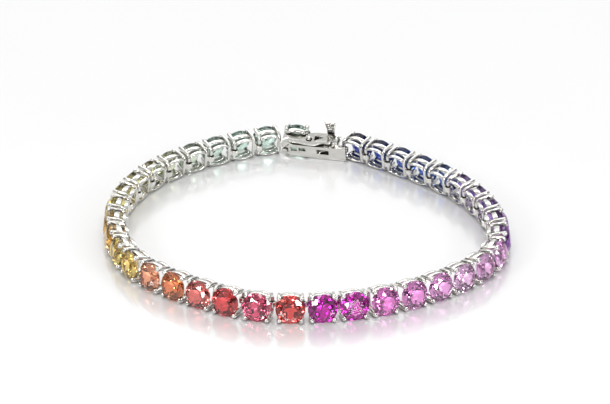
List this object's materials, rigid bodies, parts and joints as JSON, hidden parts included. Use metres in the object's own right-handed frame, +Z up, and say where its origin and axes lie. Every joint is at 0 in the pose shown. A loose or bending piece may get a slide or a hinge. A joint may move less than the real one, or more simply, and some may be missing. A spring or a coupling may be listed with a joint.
{
  "type": "tennis bracelet",
  "caption": "Line bracelet of hinged four-prong links with round faceted stones in rainbow colours, a box clasp and a safety latch, fastened and standing on its edge.",
  "frame": {"origin": "middle of the bracelet's box, on the surface that it stands on", "axes": "+X to the right and +Y away from the viewer, towards the clasp, when seen from the front; +Z up, across the band"},
  "size_m": [0.0644, 0.0642, 0.0063],
  "materials": {
    "stone_mint_green": "polished, mint green, transparent",
    "stone_pale_green": "polished, pale green, transparent",
    "stone_lemon_yellow": "polished, lemon yellow, transparent",
    "stone_amber": "polished, amber, transparent",
    "stone_golden_yellow": "polished, golden yellow, transparent",
    "stone_orange": "polished, orange, transparent",
    "stone_coral": "polished, coral, transparent",
    "stone_rose_red": "polished, rose red, transparent",
    "stone_vermilion": "polished, vermilion, transparent",
    "stone_fuchsia": "polished, fuchsia, transparent",
    "stone_hot_pink": "polished, hot pink, transparent",
    "stone_light_pink": "polished, light pink, transparent",
    "stone_violet": "polished, violet, transparent",
    "stone_lilac": "polished, lilac, transparent",
    "stone_sapphire_blue": "polished, sapphire blue, transparent",
    "rhodium_silver": "mirror-polished white plating"
  },
  "bodies": {
    "bracelet": {"link_01": "stone_mint_green", "link_02": "stone_mint_green", "link_03": "stone_mint_green", "link_04": "stone_pale_green", "link_05": "stone_pale_green", "link_06": "stone_lemon_yellow", "link_07": "stone_lemon_yellow", "link_08": "stone_lemon_yellow", "link_09": "stone_lemon_yellow", "link_10": "stone_amber", "link_11": "stone_amber", "link_12": "stone_golden_yellow", "link_13": "stone_golden_yellow", "link_14": "stone_orange", "link_15": "stone_orange", "link_16": "stone_coral", "link_17": "stone_coral", "link_18": "stone_rose_red", "link_19": "stone_vermilion", "link_20": "stone_fuchsia", "link_21": "stone_fuchsia", "link_22": "stone_hot_pink", "link_23": "stone_hot_pink", "link_24": "stone_hot_pink", "link_25": "stone_light_pink", "link_26": "stone_light_pink", "link_27": "stone_light_pink", "link_28": "stone_violet", "link_29": "stone_violet", "link_30": "stone_lilac", "link_31": "stone_lilac", "link_32": "stone_lilac", "link_33": "stone_sapphire_blue", "link_34": "stone_sapphire_blue", "link_35": "stone_sapphire_blue", "link_36": "stone_sapphire_blue", "link_37": "stone_sapphire_blue", "clasp_box": "rhodium_silver", "clasp_tongue": "rhodium_silver", "latch_pin": "rhodium_silver"},
    "safety_latch": {"safety_latch": "rhodium_silver"}
  },
  "joints": [
    {"name": "latch_pivot", "type": "hinge", "parent": "bracelet", "child": "safety_latch", "pos_m": [0.00493, 0.02606, 0.00341], "axis": [0.2178, 0.9258, 0.309], "range_deg": [0, 100]}
  ]
}
